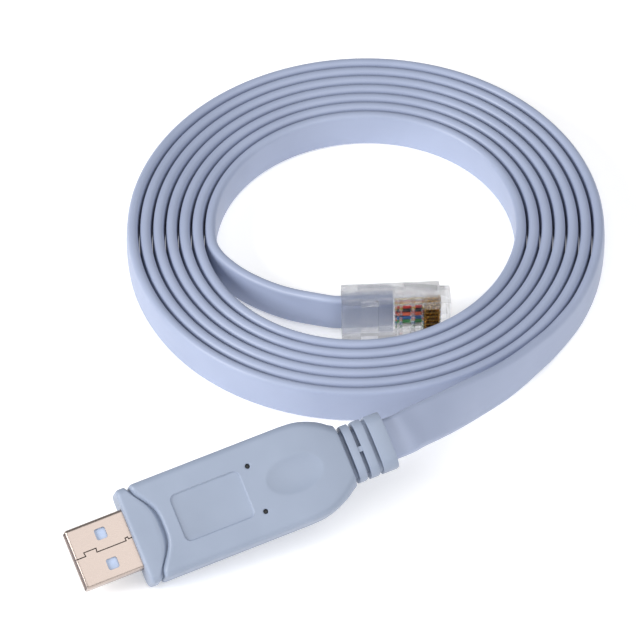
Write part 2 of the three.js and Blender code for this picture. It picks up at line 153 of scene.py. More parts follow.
# the wound part reaches a little past both places where a lead leaves it, with a point every 6 degrees
first, last = LEAVE_OUT - 360.4, 360 * (TURNS - 1) + LEAVE_IN + 0.6
steps = round((last - first) / 6)
route += [(*on_coil(first + (last - first) * i / steps), 90) for i in range(steps + 1)]
route += [
    (-30.5, -6.4, half, 90), (-29.1, -9.2, half, 90), (-26.9, -11.9, half, 90), (-24.3, -14.3, half, 90),
    (-21.3, -16.4, half, 90), (-18.2, -18.2, 4.2, 90), (-15.1, -19.8, 4.5, 90), (-12.0, -21.2, 5.0, 90),
    (-9.0, -22.4, 5.5, 90), (-6.6, -23.2, 5.78, 90),
    (*seen_from_coil(RJ_FRAME, 0, 0, CABLE_OFF), 90), (*seen_from_coil(RJ_FRAME, 5, 0, CABLE_OFF), 90),
    (*seen_from_coil(RJ_FRAME, WIRE_FROM - FACE_GAP, 0, CABLE_OFF), 90),
]


def smooth_line(points, spacing):
    """Centripetal Catmull-Rom line through the points, which carry a fourth number along with them."""
    pts = [Vector(p) for p in points]
    pts = [2 * pts[0] - pts[1]] + pts + [2 * pts[-1] - pts[-2]]
    line = []
    for p0, p1, p2, p3 in zip(pts, pts[1:], pts[2:], pts[3:]):
        t = [0]
        for a, b in ((p0, p1), (p1, p2), (p2, p3)):
            t.append(t[-1] + max((b - a).xyz.length, 1e-6) ** 0.5)
        n = max(1, math.ceil((p2 - p1).xyz.length / spacing))
        for i in range(n):
            u = t[1] + (t[2] - t[1]) * i / n
            a1 = p0 * ((t[1] - u) / (t[1] - t[0])) + p1 * ((u - t[0]) / (t[1] - t[0]))
            a2 = p1 * ((t[2] - u) / (t[2] - t[1])) + p2 * ((u - t[1]) / (t[2] - t[1]))
            a3 = p2 * ((t[3] - u) / (t[3] - t[2])) + p3 * ((u - t[2]) / (t[3] - t[2]))
            b1 = a1 * ((t[2] - u) / (t[2] - t[0])) + a2 * ((u - t[0]) / (t[2] - t[0]))
            b2 = a2 * ((t[3] - u) / (t[3] - t[1])) + a3 * ((u - t[1]) / (t[3] - t[1]))
            line.append(b1 * ((t[2] - u) / (t[2] - t[1])) + b2 * ((u - t[1]) / (t[2] - t[1])))
    line.append(pts[-2].copy())
    return line


def jacket_section():
    """The flat jacket's outline, its broad faces a little bellied, and the way round it to each point."""
    w, t, r = CABLE_W / 2, JACKET_T / 2, JACKET_R
    belly = (CABLE_T - JACKET_T) / 2
    points = []
    for cx, cy, start in ((w - r, t - r, 0), (r - w, t - r, 90), (r - w, r - t, 180), (w - r, r - t, 270)):
        for i in range(7):
            a = math.radians(start + 15 * i)
            points.append((cx + r * math.cos(a), cy + r * math.sin(a)))
        if start in (0, 180):            # a broad face comes next
            side = 1 if start == 0 else -1
            for u in (0.8, 0.5, 0.2, -0.2, -0.5, -0.8):
                points.append((side * (w - r) * u, side * (t + belly * (1 - u * u))))
    around, long = [0], 0
    for a, b in zip(points, points[1:] + points[:1]):
        long += math.dist(a, b)
        around.append(long)
    return points, around


def flat_cable(name, line):
    """The jacket swept along the line: its own mesh, with a UV map in metres along and around it."""
    section, around = jacket_section()
    n = len(section)
    centre = [Vector(p[:3]) for p in line]
    verts, faces, uvs = [], [], []
    along = [0]
    for a, b in zip(centre, centre[1:]):
        along.append(along[-1] + (b - a).length)
    for i, p in enumerate(centre):
        t = (centre[min(i + 1, len(centre) - 1)] - centre[max(i - 1, 0)]).normalized()
        side = Vector((t.y, -t.x, 0)).normalized()
        up = side.cross(t).normalized()
        drop = math.radians(line[i][3])
        wide = side * math.cos(drop) - up * math.sin(drop)
        flat = t.cross(wide).normalized()
        verts += [p + wide * w + flat * h for w, h in section]
    for i in range(len(centre) - 1):
        for j in range(n):
            k = (j + 1) % n
            faces.append((i * n + j, i * n + k, (i + 1) * n + k, (i + 1) * n + j))
            uvs += [(along[i], around[j]), (along[i], around[j + 1])]
            uvs += [(along[i + 1], around[j + 1]), (along[i + 1], around[j])]
    faces.append(tuple(range(n - 1, -1, -1)))
    faces.append(tuple((len(centre) - 1) * n + j for j in range(n)))
    uvs += [(0, 0)] * (2 * n)
    mesh = bpy.data.meshes.new(name)
    mesh.from_pydata([COIL_FRAME @ v for v in verts], [], faces)
    layer = mesh.uv_layers.new(name="along_and_around")
    layer.data.foreach_set("uv", [c * MM for uv in uvs for c in uv])
    piece = bpy.data.objects.new(name, mesh)
    bpy.context.scene.collection.objects.link(piece)
    return piece


# Modelling by hand


def take(piece):
    """Makes one piece the only one that is selected, and the one that operators act on."""
    bpy.ops.object.select_all(action="DESELECT")
    piece.select_set(True)
    bpy.context.view_layer.objects.active = piece
    return piece


def pick(piece, test):
    """In edit mode, selects the faces that pass the test, and only those."""
    bpy.ops.mesh.select_all(action="DESELECT")
    bpy.ops.mesh.select_mode(type="FACE")
    for face in bmesh.from_edit_mesh(piece.data).faces:
        if test(face):
            face.select_set(True)
    bmesh.update_edit_mesh(piece.data)


def outwards(piece):
    """Merges doubled points and turns every face outwards."""
    take(piece)
    bpy.ops.object.mode_set(mode="EDIT")
    bpy.ops.mesh.select_all(action="SELECT")
    bpy.ops.mesh.remove_doubles(threshold=0.0005)
    bpy.ops.mesh.normals_make_consistent(inside=False)
    bpy.ops.object.mode_set(mode="OBJECT")
    return piece


def through_rings(name, rings):
    """A closed skin through rings of equally many points: a filled circle is laid on the first ring,
    then its face is extruded for each further ring and laid on it."""
    bpy.ops.object.select_all(action="DESELECT")
    bpy.ops.mesh.primitive_circle_add(vertices=len(rings[0]), radius=1, fill_type="NGON")
    piece = bpy.context.object
    piece.name = piece.data.name = name
    bpy.ops.object.mode_set(mode="EDIT")
    bpy.ops.mesh.select_all(action="SELECT")
    where = None
    for ring in rings:
        if where is not None:
            bpy.ops.mesh.extrude_region()
        mesh = bmesh.from_edit_mesh(piece.data)
        now = {}
        for i, v in enumerate(v for v in mesh.verts if v.select):
            k = i if where is None else where[tuple(v.co)]
            v.co = ring[k]
            now[tuple(v.co)] = k
        bmesh.update_edit_mesh(piece.data)
        where = now
    bpy.ops.object.mode_set(mode="OBJECT")
    return outwards(piece)


def block(name, x, y, z, edge=0):
    """A block between two planes each way, its edges rounded with the bevel tool."""
    bpy.ops.object.select_all(action="DESELECT")
    bpy.ops.mesh.primitive_cube_add(size=1, location=[(a + b) / 2 for a, b in (x, y, z)])
    piece = bpy.context.object
    piece.name = piece.data.name = name
    piece.scale = [b - a for a, b in (x, y, z)]
    bpy.ops.object.transform_apply(location=True, rotation=True, scale=True)
    if edge:
        bpy.ops.object.mode_set(mode="EDIT")
        bpy.ops.mesh.select_all(action="SELECT")
        bpy.ops.mesh.bevel(offset=edge, segments=2, affect="EDGES")
        bpy.ops.object.mode_set(mode="OBJECT")
    return piece


def combine(piece, other, how="DIFFERENCE"):
    """Cuts another piece out of this one, or joins it on, and uses it up."""
    step = piece.modifiers.new(how, "BOOLEAN")
    step.operation, step.object, step.solver = how, other, "EXACT"
    take(piece)
    bpy.ops.object.modifier_apply(modifier=step.name)
    bpy.data.objects.remove(other)
    return piece


def lay(piece, plug_frame, angle=30):
    """Sets a finished piece in its place, smooth but for its real edges, with its object at the origin."""
    take(piece)
    bpy.ops.object.shade_smooth_by_angle(angle=math.radians(angle))
    piece.matrix_world = plug_frame
    bpy.ops.object.transform_apply(location=True, rotation=True, scale=True)
    return piece


def rounded(w, h, r, corner=6, across=1, down=1):
    """Points round a w by h rectangle with round corners, counter-clockwise from the right."""
    x, y = w / 2 - r, h / 2 - r
    points = []
    for cx, cy, start, n, following in ((x, y, 0, across, (-x, h / 2)), (-x, y, 90, down, (-w / 2, -y)),
                                        (-x, -y, 180, across, (x, -h / 2)), (x, -y, 270, down, (w / 2, y))):
        for i in range(corner + 1):
            a = math.radians(start + 90 * i / corner)
            points.append((cx + r * math.cos(a), cy + r * math.sin(a)))
        ends = points[-1], following
        points += [tuple(a + (b - a) * i / n for a, b in zip(*ends)) for i in range(1, n)]
    return points


def along_x(name, section, stations):
    """A skin through the section at each (x, inset): the section is (y, z) points for an inset."""
    return through_rings(name, [[(x, y, z) for y, z in section(inset)] for x, inset in stations])


def upright(name, outline, levels):
    """A skin through the outline at each (z, growth): the outline is (x, y) points for a growth."""
    return through_rings(name, [[(x, y, z) for x, y in outline(grow)] for z, grow in levels])


def across_y(name, profile, wide):
    """A prism of that width about y = 0 with a profile of (x, z) points."""
    return through_rings(name, [[(x, y, z) for x, z in profile] for y in (-wide / 2, wide / 2)])


def between(x, table):
    """A smooth value at x from a table of (x, value)."""
    if x <= table[0][0]:
        return table[0][1]
    for i in range(len(table) - 1):
        (x0, y0), (x1, y1) = table[i], table[i + 1]
        if x <= x1:
            slope = (y1 - y0) / (x1 - x0)
            before = (y0 - table[i - 1][1]) / (x0 - table[i - 1][0]) if i else slope
            after = (table[i + 2][1] - y1) / (table[i + 2][0] - x1) if i + 2 < len(table) else slope
            m0, m1 = ((a + slope) / 2 if a * slope > 0 else 0 for a in (before, after))
            u, w = (x - x0) / (x1 - x0), x1 - x0
            return (y0 * (1 + 2 * u) * (1 - u) ** 2 + m0 * w * u * (1 - u) ** 2
                    + y1 * u * u * (3 - 2 * u) - m1 * w * u * u * (1 - u))
    return table[-1][1]


# USB plug


def front_curve(y):
    """How far the curved seam between collar and body lies from its middle's x; its ends run ahead."""
    return -SEAM_BOW * smooth(min(1, abs(y) / (HOUSING_W / 2)) ** 1.6)


# how the housing narrows, gets lower and gets rounder corners towards its tail, as (x, value)
SHOULDER = ((45.5, 1), (48, 0.985), (50, 0.94), (52, 0.865), (53.5, 0.785), (54.6, 0.705), (BODY_END, 0.65))
HEIGHT = ((48, 1), (51, 0.975), (53.5, 0.92), (BODY_END, 0.85))
CORNER = ((45, 1.35), (49, 1.6), (52.5, 2.0), (BODY_END, 2.3))
# how far the sides of its top fall away, as (x, value)
CROWN = ((46, 0), (50, 0.02), (53, 0.07), (BODY_END, 0.12))
# the rounded edges, as (distance, how far under the surface): the collar's rear edge ahead of the seam, the
# body's front edge behind it, and the tail's edge ahead of its end
COLLAR_REAR = ((1, 0), (0.88, 0.05), (0.76, 0.13), (0.64, 0.24),
               (0.52, 0.38), (0.42, 0.54), (0.32, 0.68), (0.08, 0.72))
BODY_FRONT = ((0, 1.2), (0.04, 0.48), (0.1, 0.33), (0.2, 0.2), (0.34, 0.09), (0.5, 0.02), (0.68, 0))
TAIL_EDGE = ((0.28, 0), (0.16, 0.02), (0.06, 0.08), (0, 0.18))
# the body's rings as (x, share of the seam's curve), and the close ones over the dimple and the shoulders
SEAM_FADE = ((18.9, 1), (19.6, 0.95), (20.8, 0.84), (22.4, 0.69), (24.2, 0.53), (26, 0.38),
             (28, 0.24), (30, 0.13), (32, 0.05), (34, 0.01), (36, 0), (37.5, 0))
CLOSE_FROM, CLOSE_STEP = 38.4, 0.32


def housing_ring(x, follow, inset, high):
    """One section of the housing: x at its middle, how much of the seam's curve it follows, how far
    it lies under the surface, and half its height."""
    w = HOUSING_W / 2 * between(x, SHOULDER) - inset
    h = high - inset
    r = min(between(x, CORNER), h * 0.9, w * 0.9)
    points = []
    for y, z in rounded(2 * w, 2 * h, r, corner=7, across=48, down=5):
        px = x + follow * front_curve(y / max(w, 0.1) * HOUSING_W / 2)
        z *= 1 - between(x, CROWN) * (y / w) ** 2
        if z > 0 and DIMPLE_X - DIMPLE_L < px < DIMPLE_X + DIMPLE_L:
            # thumb dimple: a shallow oval scoop whose rim is hardly rounded
            q = math.hypot((px - DIMPLE_X) / (DIMPLE_L / 2), y / (DIMPLE_W / 2))
            z -= DIMPLE_DEPTH * max(0, 1 - q * q) ** 0.9 if q < 1 else 0
        points.append((px, y, z))
    return points


def housing_rings():
    """The moulding's sections from the collar's front rim to its tail."""
    rings = []
    top = COLLAR_H / 2
    for deg in range(0, 91, 15):                    # round the collar's front rim
        a = math.radians(deg)
        rings.append(housing_ring(SHELL_OUT + RIM_X * (1 - math.cos(a)), 0, RIM_IN * (1 - math.sin(a)), top))
    rim_end = SHELL_OUT + RIM_X
    for u in (0.2, 0.4, 0.6, 0.8):                  # from the straight rim to the curved seam
        rings.append(housing_ring(rim_end + (SEAM_X - 1 - rim_end) * u, u, 0, top))
    for ahead, inset in COLLAR_REAR:
        rings.append(housing_ring(SEAM_X - ahead, 1, inset, top))
    top = BODY_H / 2
    for behind, inset in BODY_FRONT:
        rings.append(housing_ring(SEAM_X + behind, 1, inset, top))
    for x, follow in SEAM_FADE:
        rings.append(housing_ring(x, follow, 0, top))
    x = CLOSE_FROM
    while x < BODY_END - 0.5:
        rings.append(housing_ring(x, 0, 0, top * between(x, HEIGHT)))
        x += CLOSE_STEP
    for ahead, inset in TAIL_EDGE:
        rings.append(housing_ring(BODY_END - ahead, 0, inset, top * between(BODY_END, HEIGHT)))
    return rings


def relief_plate(name, x0, x1, w, h, r, edge, arch):
    """One plate of the strain relief, its upper and lower faces arched across the cable."""
    def section(inset):
        points = rounded(w - 2 * inset, h - 2 * inset, r - inset, corner=8, across=10)
        return [(y, z * (1 - arch * (2 * y / w) ** 2)) for y, z in points]
    return along_x(name, section, ((x0, edge), (x0 + edge * 0.3, edge * 0.3), (x0 + edge, 0),
                                   (x1 - edge, 0), (x1 - edge * 0.3, edge * 0.3), (x1, edge)))


def add_relief(housing):
    """Joins on the three plates, the thinner cores between them, and the bridge over the middle slot."""
    (a0, a1), (b0, b1), (_, c1) = RIBS
    lap = 0.4                                       # how far cores and bridge reach into the plates
    cores = ((BODY_END - 2, a1 - lap, CORE_W, CORE_H - 1.3),
             (a0 + lap, b1 - lap, CORE_W - 1, CORE_H - 1),
             (b0 + lap, c1 - lap, CORE_W + 0.9, CORE_H))
    for x0, x1, w, h in cores:
        combine(housing, relief_plate("core", x0, x1, w, h, 1.5, 0.1, 0), "UNION")
    for x0, x1 in RIBS:
        combine(housing, relief_plate("rib", x0, x1, RELIEF_W, RELIEF_H, 2.3, 0.09, 0.13), "UNION")
    reach = RELIEF_H / 2 - 0.18
    bridge = block("bridge", (a0 + lap, b1 - lap), (-BRIDGE_W / 2, BRIDGE_W / 2), (-reach, reach), 0.08)
    combine(housing, bridge, "UNION")


def hollow_housing(housing):
    """Cuts the pocket for the metal shell, the label panel and the two indicator holes."""
    combine(housing, along_x("pocket", lambda inset: rounded(SHELL_W + 0.12, SHELL_H + 0.12, SHELL_R + 0.06),
                             ((SHELL_OUT - 1, 0), (SHELL_OUT + SHELL_IN + 0.2, 0))))
    top, floor_z = BODY_H / 2, BODY_H / 2 - LABEL_DEPTH
    mid, long = (LABEL_FROM + LABEL_TO) / 2, LABEL_TO - LABEL_FROM

    def panel(grow):
        points = rounded(long + 2 * grow, LABEL_W + 2 * grow, LABEL_R + grow, corner=10)
        return [(mid + x, y) for x, y in points]
    combine(housing, upright("panel", panel, ((floor_z - 0.1, -0.3), (floor_z - 0.07, -0.22),
                                              (top - 0.05, -0.02), (top, 0.06), (top + 0.3, 0.6))))
    for side in (-1, 1):
        def circle(r):
            turn = [math.tau * i / 32 for i in range(32)]
            return [(HOLE_X + r * math.cos(a), side * HOLE_Y + r * math.sin(a)) for a in turn]
        combine(housing, upright("hole", circle, ((top - 1.6, 0.48), (top - 0.13, 0.49),
                                                  (top - 0.04, 0.56), (top + 0.1, 0.8))))


def make_housing():
    """The whole overmoulding: collar, body and strain relief."""
    housing = through_rings("usb_housing_moulded", housing_rings())
    add_relief(housing)
    hollow_housing(housing)
    return lay(outwards(housing), USB_FRAME, 32)


def make_lens(side):
    """Smoked light guide at the bottom of an indicator hole: a short rod with a domed end."""
    bpy.ops.object.select_all(action="DESELECT")
    bpy.ops.mesh.primitive_cylinder_add(vertices=32, radius=0.47, depth=1.2,
                                        location=(HOLE_X, side * HOLE_Y, BODY_H / 2 - 1.1))
    piece = bpy.context.object
    piece.name = piece.data.name = "indicator_lens_" + ("near" if side < 0 else "far")
    bpy.ops.object.transform_apply(location=True, rotation=True, scale=True)
    bpy.ops.object.mode_set(mode="EDIT")
    pick(piece, lambda f: f.normal.z > 0.9)
    bpy.ops.mesh.inset(thickness=0.12)
    bpy.ops.transform.translate(value=(0, 0, 0.05))
    bpy.ops.mesh.inset(thickness=0.14)
    bpy.ops.transform.translate(value=(0, 0, 0.03))
    bpy.ops.object.mode_set(mode="OBJECT")
    return lay(piece, USB_FRAME, 60)


def stroke(points, width):
    """Outline of a line of that width through the points."""
    sides = [], []
    for i, (x, y) in enumerate(points):
        (ax, ay), (bx, by) = points[max(i - 1, 0)], points[min(i + 1, len(points) - 1)]
        before = Vector((x - ax, y - ay)).normalized() if i else None
        after = Vector((bx - x, by - y)).normalized() if i + 1 < len(points) else None
        a, b = before or after, after or before
        normal = Vector((-(a + b).y, (a + b).x)).normalized()
        reach = width / 2 / max(0.35, normal.dot(Vector((-a.y, a.x))))
        for side, sign in zip(sides, (1, -1)):
            side.append((x + sign * normal.x * reach, y + sign * normal.y * reach))
    return sides[0] + sides[1][::-1]


def make_shell():
    """Stamped sheet folded into a box: rounded mouth, windows, and the seam where its edges interlock."""
    w, h, r, c = SHELL_W, SHELL_H, SHELL_R, SHELL_WALL
    end = SHELL_OUT + SHELL_IN
    shell = along_x("usb_shell_stamped", lambda i: rounded(w - 2 * i, h - 2 * i, r - i, corner=8, across=4),
                    ((0, 0.24), (0.06, 0.14), (0.16, 0.065), (0.32, 0.02), (0.5, 0), (end, 0)))
    combine(shell, along_x("inside", lambda i: rounded(w - 2 * (c + i), h - 2 * (c + i), r - c - i, corner=8),
                           ((-0.1, -0.03), (0.1, -0.01), (0.3, 0), (end + 1, 0))))
    for y in (-WINDOW_Y, WINDOW_Y):
        window = [(WINDOW_X + u, y + v) for u, v in rounded(WINDOW, WINDOW, WINDOW_R)]
        combine(shell, upright("window", lambda grow: window, ((-h, 0), (h, 0))))
    seam = stroke([(-0.5, 0), (2.0, 0), (1.9, 0.78), (4.4, 0.78), (4.3, 0), (10.3, 0),
                   (10.25, 0.55), (10.8, 0.6), (10.85, 0.2), (12.5, 0.2)], JOINT_W)
    combine(shell, upright("seam", lambda grow: seam, ((h / 2 - JOINT_DEPTH, 0), (h / 2 + 0.5, 0))))
    outwards(shell)
    shell.data.materials.append(plated_steel())
    # the second material paints the seam's shade near-black brown
    shell.data.materials.append(seam_painted_shade())
    for face in shell.data.polygons:                # the walls and floor of the seam, which get the near-black painted shade
        x, y, z = face.center
        if h / 2 - JOINT_DEPTH - 0.01 < z < h / 2 - 0.01 and abs(y) < 1.2 and x > 0.02:
            face.material_index = 1
    return lay(shell, USB_FRAME, 30)


def make_tongue():
    """Insulator that carries the contacts: chamfered at the mouth, with a slot for each contact."""
    top, end = SHELL_H / 2 - SHELL_WALL - TONGUE_GAP, SHELL_OUT + SHELL_IN
    under = top - TONGUE_T
    side = TONGUE_W / 2
    tongue = block("usb_tongue_moulded", (TONGUE_BACK, end), (-side, side), (under, top), 0.18)
    for y, long in zip(CONTACT_Y, CONTACT_L):
        slot = block("slot", (end - long - 2.8, end + 1), (y - 0.62, y + 0.62), (under - 1, under + 0.12))
        combine(tongue, slot)
    return lay(outwards(tongue), USB_FRAME, 30)


def make_usb_contacts():
    """Sprung contact strips: each is a block with softened edges and a lifted tip."""
    top, end = SHELL_H / 2 - SHELL_WALL - TONGUE_GAP, SHELL_OUT + SHELL_IN
    made = []
    for i, (y, long) in enumerate(zip(CONTACT_Y, CONTACT_L)):
        z = top - TONGUE_T + 0.02
        name = f"usb_contact_strip_{i + 1}"
        strip = block(name, (end - long - 2.5, end), (y - 0.5, y + 0.5), (z - 0.34, z), 0.07)
        bpy.ops.object.mode_set(mode="EDIT")
        pick(strip, lambda f: f.normal.x < -0.5)
        bpy.ops.transform.translate(value=(0, 0, 0.1))
        bpy.ops.object.mode_set(mode="OBJECT")
        made.append(lay(strip, USB_FRAME, 30))
    return made


# RJ45 plug


def core_y(i):
    """Where core i and its blade lie across the plug."""
    return (i - (CORES - 1) / 2) * CORE_PITCH


def add_latch(body):
    """A springy lever rooted at the nose, with locking shoulders, then a narrower thumb tab."""
    t = RJ_T / 2
    lever = [(RJ_L - 2.4, -t + 0.3), (RJ_L - 0.45, -t + 0.3), (RJ_L - 0.6, -t - 0.5),
             (RJ_L - 1.1, -t - LATCH_T), (12.6, -t - 2.55), (12.6, -t - 1.2), (RJ_L - 3.4, -t - 0.45)]
    tab = [(14, -t - 2.15), (9, -t - 3.2), (3.6, -t - 3.5),
           (3.6, -t - 2.45), (9.2, -t - 2.15), (14, -t - 1.2)]
    combine(body, across_y("lever", lever, LATCH_W), "UNION")
    combine(body, across_y("tab", tab, TAB_W), "UNION")


def hollow_plug(body):
    """Cuts the cable mouth, the channel for the cores, the clamp and core windows and the blade slots."""
    t = RJ_T / 2
    mw, mh = CABLE_W / 2 + MOUTH_CLEAR, CABLE_T / 2 + MOUTH_CLEAR
    combine(body, block("mouth", (-1, MOUTH_DEPTH), (-mw, mw), (CABLE_OFF - mh, CABLE_OFF + mh)))
    cw, ch = (CORES - 1) * CORE_PITCH / 2 + WIRE_D / 2 + 0.2, WIRE_D / 2 + 0.1
    combine(body, block("channel", (MOUTH_DEPTH - 0.5, WIRE_TO + 0.4), (-cw, cw), (WIRE_Z - ch, WIRE_Z + ch)))
    for x0, x1, deep in ((3.7, 7.2, 1.6), (10.8, 11.3, 2.95), (11.9, 13.6, 2.95), (14.4, 15.7, 2.95)):
        combine(body, block("window", (x0, x1), (-4.6, 5.25), (t - deep, t + 1), 0.1))
    side = BLADE_T / 2 + BLADE_CLEAR
    slot = (BLADE[0] - BLADE_CLEAR, BLADE[1] + BLADE_CLEAR)
    for i in range(CORES):
        combine(body, block("slot", slot, (core_y(i) - side, core_y(i) + side), (WIRE_Z, t + 1)))


def make_rj45_body():
    """The clear plug: a block with a narrower nose, the latch, and all that is hollow in it."""
    w, t = RJ_W / 2, RJ_T / 2
    body = block("rj45_plug_clear", (0, RJ_MAIN), (-w, w), (-t, t), 0.22)
    nose = block("nose", (RJ_MAIN - 1, RJ_L), (-NOSE_W / 2, NOSE_W / 2), (-t + 0.05, t - 0.8), 0.2)
    combine(body, nose, "UNION")
    add_latch(body)
    hollow_plug(body)
    return lay(outwards(body), RJ_FRAME, 25)


def make_blade(i):
    """Contact blade: rounded crown, notched foot that bites through the core's insulation."""
    (x0, x1), (z0, z1), r = BLADE, BLADE_Z, BLADE_R
    quarter = [math.radians(22.5 * k) for k in range(5)]
    outline = [(x0, z0), (x0, z1 - 0.7)]
    outline += [(x0 + r - r * math.cos(a), z1 - r + r * math.sin(a)) for a in quarter]
    outline += [(x1 - r + r * math.sin(a), z1 - r + r * math.cos(a)) for a in quarter]
    tooth, notch = z0 - BLADE_BITE, z0 + 0.1
    outline += [(x1, z0), (x1 - 0.35, tooth), (x1 - 0.8, notch), (x1 - 1.25, tooth)]
    outline += [(x0 + 1.45, notch), (x0 + 0.9, tooth), (x0 + 0.45, notch)]
    mx, mz = (x0 + x1) / 2, (z0 + z1) / 2
    face, edge = BLADE_T / 2, BLADE_T / 2 - 0.05
    rings = [[(mx + (x - mx) * s, core_y(i) + d, mz + (z - mz) * s) for x, z in outline]
             for d, s in ((-face, 0.97), (-edge, 1), (edge, 1), (face, 0.97))]
    return lay(through_rings(f"rj45_blade_{i + 1}", rings), RJ_FRAME, 30)


def make_core(i):
    """An insulated core: a round rod whose cut end shows the copper."""
    bpy.ops.object.select_all(action="DESELECT")
    bpy.ops.mesh.primitive_cylinder_add(vertices=24, radius=WIRE_D / 2, depth=WIRE_TO - WIRE_FROM,
                                        location=((WIRE_FROM + WIRE_TO) / 2, core_y(i), WIRE_Z),
                                        rotation=(0, math.radians(90), 0))
    piece = bpy.context.object
    piece.name = piece.data.name = f"rj45_core_{i + 1}"
    bpy.ops.object.transform_apply(location=True, rotation=True, scale=True)
    bpy.ops.object.mode_set(mode="EDIT")
    pick(piece, lambda f: abs(f.normal.x) > 0.9)
    bpy.ops.mesh.inset(thickness=0.05)
    bpy.ops.mesh.inset(thickness=0.15)
    pick(piece, lambda f: f.normal.x > 0.9 and f.calc_area() < 0.3 and len(f.verts) > 8)
    bpy.ops.mesh.extrude_region_move(TRANSFORM_OT_translate={"value": (0.12, 0, 0)})
    bpy.ops.object.mode_set(mode="OBJECT")
    return lay(piece, RJ_FRAME, 40)


# Materials


def colour(text):
    """sRGB hex to the linear values that shaders take."""
    parts = [int(text[i:i + 2], 16) / 255 for i in (1, 3, 5)]
    return [p / 12.92 if p <= 0.04045 else ((p + 0.055) / 1.055) ** 2.4 for p in parts] + [1]


def add(tree, kind, links=(), values=(), **settings):
    """Adds a node with its settings, its sockets' values and the links into it."""
    made = tree.nodes.new(kind)
    for name, value in settings.items():
        setattr(made, name, value)
    for name, value in dict(values).items():
        made.inputs[name].default_value = value
    for name, source in dict(links).items():
        tree.links.new(source, made.inputs[name])
    return made


def blank(name):
    """A new material with an empty node tree."""
    material = bpy.data.materials.new(name)
    material.use_nodes = True
    tree = material.node_tree
    tree.nodes.clear()
    return material, tree


def per_mm(size):
    """Pattern scale for details of that size in millimetres, on coordinates in metres."""
    return 1 / (size * MM)


def ramp(tree, factor, low, high):
    """Blend of two colours, each given with the value of the pattern where it is pure."""
    made = add(tree, "ShaderNodeValToRGB", {"Fac": factor})
    made.color_ramp.elements[0].position, made.color_ramp.elements[0].color = low[0], colour(low[1])
    made.color_ramp.elements[1].position, made.color_ramp.elements[1].color = high[0], colour(high[1])
    return made.outputs["Color"]


def noise(tree, place, scale, detail, roughness=0.5):
    """Cloudy pattern over the places given."""
    return add(tree, "ShaderNodeTexNoise", {"Vector": place},
               {"Scale": scale, "Detail": detail, "Roughness": roughness}).outputs["Fac"]


def gloss(tree, factor, low, high):
    """Roughness that follows a pattern from one value to the other."""
    return add(tree, "ShaderNodeMapRange", {"Value": factor},
               {"From Min": 0.3, "From Max": 0.7, "To Min": low, "To Max": high}).outputs["Result"]


def bumped(tree, height, strength, deep, under=None):
    """Normals of a pattern that many millimetres deep, laid over another one's if there is one."""
    links = {"Height": height} if under is None else {"Height": height, "Normal": under}
    return add(tree, "ShaderNodeBump", links, {"Strength": strength, "Distance": deep * MM}).outputs["Normal"]


def surface(tree, links, values):
    """The shader of the finished surface, wired to the material's output."""
    skin = add(tree, "ShaderNodeBsdfPrincipled", links, values)
    add(tree, "ShaderNodeOutputMaterial", {"Surface": skin.outputs["BSDF"]})


def extruded_pvc():
    """Plasticised PVC drawn through a die: a soft satin skin with faint lines along the cable."""
    material, tree = blank("extruded_pvc_jacket")
    uv = add(tree, "ShaderNodeUVMap", uv_map="along_and_around").outputs["UV"]
    # die lines about 14 mm long and 0.35 mm apart, a grain of 0.3 mm and clouds of 16 mm
    stretch = (per_mm(14), per_mm(0.35), 1)
    drawn = add(tree, "ShaderNodeMapping", {"Vector": uv}, {"Scale": stretch}).outputs["Vector"]
    lines = noise(tree, drawn, 1, 3, 0.55)
    place = add(tree, "ShaderNodeTexCoord").outputs["Object"]
    grain = noise(tree, place, per_mm(0.3), 3)
    tint = ramp(tree, noise(tree, place, per_mm(16), 2), (0.3, "#98A2BB"), (0.7, "#9FA9C2"))
    normal = bumped(tree, grain, 0.1, 0.03, bumped(tree, lines, 0.12, 0.04))
    surface(tree, {"Base Color": tint, "Roughness": gloss(tree, lines, 0.40, 0.50), "Normal": normal},
            {"IOR": 1.53, "Metallic": 0})
    return material


def moulded_pvc():
    """PVC moulded in a finely spark-eroded tool: an even satin with a grain of about 0.2 mm."""
    material, tree = blank("moulded_pvc_housing")
    place = add(tree, "ShaderNodeTexCoord").outputs["Object"]
    grain = noise(tree, place, per_mm(0.22), 4, 0.6)
    tint = ramp(tree, noise(tree, place, per_mm(11), 2), (0.3, "#8C97AB"), (0.7, "#929DB1"))
    surface(tree, {"Base Color": tint, "Roughness": gloss(tree, grain, 0.42, 0.54),
                   "Normal": bumped(tree, grain, 0.16, 0.03)},
            {"IOR": 1.53, "Metallic": 0})
    return material


def plated_steel():
    """Nickel-plated steel strip, folded and stamped: a warm satin metal with rolling lines along it."""
    material, tree = blank("nickel_plated_steel")
    place = add(tree, "ShaderNodeTexCoord").outputs["Object"]
    # rolling lines about 4 mm long and 0.12 mm apart, turned with the plug
    turn, stretch = (0, 0, math.radians(-USB_YAW)), (per_mm(4), per_mm(0.12), per_mm(0.12))
    rolled = add(tree, "ShaderNodeMapping", {"Vector": place}, {"Rotation": turn, "Scale": stretch})
    lines = noise(tree, rolled.outputs["Vector"], 1, 3)
    surface(tree, {"Roughness": gloss(tree, lines, 0.24, 0.34), "Normal": bumped(tree, lines, 0.06, 0.02)},
            {"Base Color": colour("#B8AAA2"), "Metallic": 1})
    return material


def seam_painted_shade():
    """Painted shade of the narrow seam, near-black brown on its walls and floor; the walls are the strip's
    cut edges, torn by the die and unplated.
    """
    material, tree = blank("painted_seam_shade")
    place = add(tree, "ShaderNodeTexCoord").outputs["Object"]
    # near-black browns: painted shade for the narrow seam
    tint = ramp(tree, noise(tree, place, per_mm(0.15), 2), (0.3, "#2A201A"), (0.7, "#46362C"))
    surface(tree, {"Base Color": tint}, {"Metallic": 0, "Roughness": 0.7})
    return material


